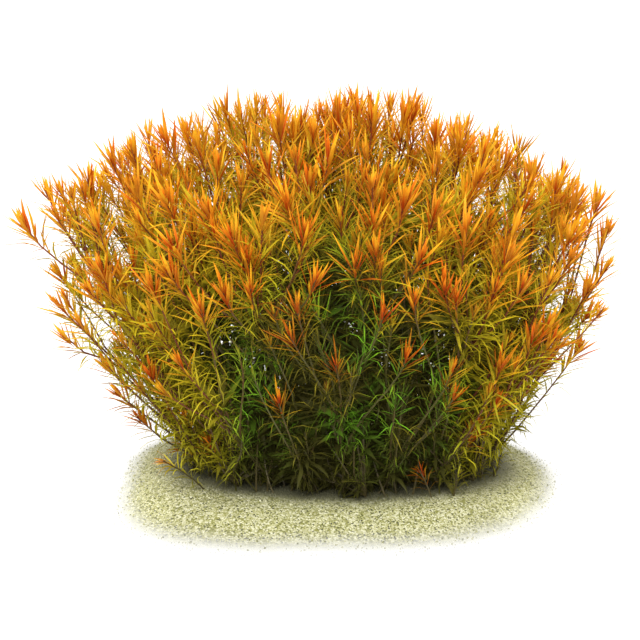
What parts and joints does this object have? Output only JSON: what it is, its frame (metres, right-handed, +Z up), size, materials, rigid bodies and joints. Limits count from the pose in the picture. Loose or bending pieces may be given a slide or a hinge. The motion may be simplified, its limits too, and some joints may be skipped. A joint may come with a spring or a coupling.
{
  "type": "rotala bush in a bed of sand",
  "caption": "Dense domed bush of a narrow-leaved rotala, orange at the tips and green below, rooted in a low oval bed of pale coarse sand.",
  "frame": {"origin": "on the flat underside of the sand bed, below the middle of the oval patch where the stems are planted", "axes": "+Z up, +X to the right seen from the front, the front faces -Y"},
  "size_m": [0.3476, 0.2596, 0.2243],
  "materials": {
    "sand": "matte",
    "orange_leaves": "satin",
    "gold_leaves": "satin",
    "green_leaves": "satin"
  },
  "bodies": {
    "root": {"leafy_stem_01": "orange_leaves", "leafy_stem_02": "orange_leaves", "leafy_stem_03": "orange_leaves", "leafy_stem_04": "orange_leaves", "leafy_stem_05": "orange_leaves", "leafy_stem_06": "orange_leaves", "leafy_stem_07": "orange_leaves", "leafy_stem_08": "orange_leaves", "leafy_stem_09": "orange_leaves", "leafy_stem_10": "orange_leaves", "leafy_stem_11": "orange_leaves", "leafy_stem_12": "orange_leaves", "leafy_stem_13": "orange_leaves", "leafy_stem_14": "orange_leaves", "leafy_stem_15": "gold_leaves", "leafy_stem_16": "gold_leaves", "leafy_stem_17": "gold_leaves", "leafy_stem_18": "gold_leaves", "leafy_stem_19": "gold_leaves", "leafy_stem_20": "gold_leaves", "leafy_stem_21": "gold_leaves", "leafy_stem_22": "gold_leaves", "leafy_stem_23": "gold_leaves", "leafy_stem_24": "gold_leaves", "leafy_stem_25": "gold_leaves", "leafy_stem_26": "gold_leaves", "leafy_stem_27": "gold_leaves", "leafy_stem_28": "gold_leaves", "leafy_stem_29": "gold_leaves", "leafy_stem_30": "gold_leaves", "leafy_stem_31": "gold_leaves", "leafy_stem_32": "gold_leaves", "leafy_stem_33": "gold_leaves", "leafy_stem_34": "gold_leaves", "leafy_stem_35": "gold_leaves", "leafy_stem_36": "gold_leaves", "leafy_stem_37": "gold_leaves", "leafy_stem_38": "gold_leaves", "leafy_stem_39": "green_leaves", "leafy_stem_40": "green_leaves", "leafy_stem_41": "green_leaves", "leafy_stem_42": "green_leaves", "leafy_stem_43": "green_leaves", "leafy_stem_44": "green_leaves", "leafy_stem_45": "green_leaves", "leafy_stem_46": "green_leaves", "leafy_stem_47": "green_leaves", "leafy_stem_48": "green_leaves", "leafy_stem_49": "green_leaves", "leafy_stem_50": "green_leaves", "leafy_stem_51": "green_leaves", "leafy_stem_52": "green_leaves", "leafy_stem_53": "green_leaves", "leafy_stem_54": "green_leaves", "leafy_stem_55": "green_leaves", "leafy_stem_56": "green_leaves", "sand_bed": "sand"}
  },
  "joints": []
}
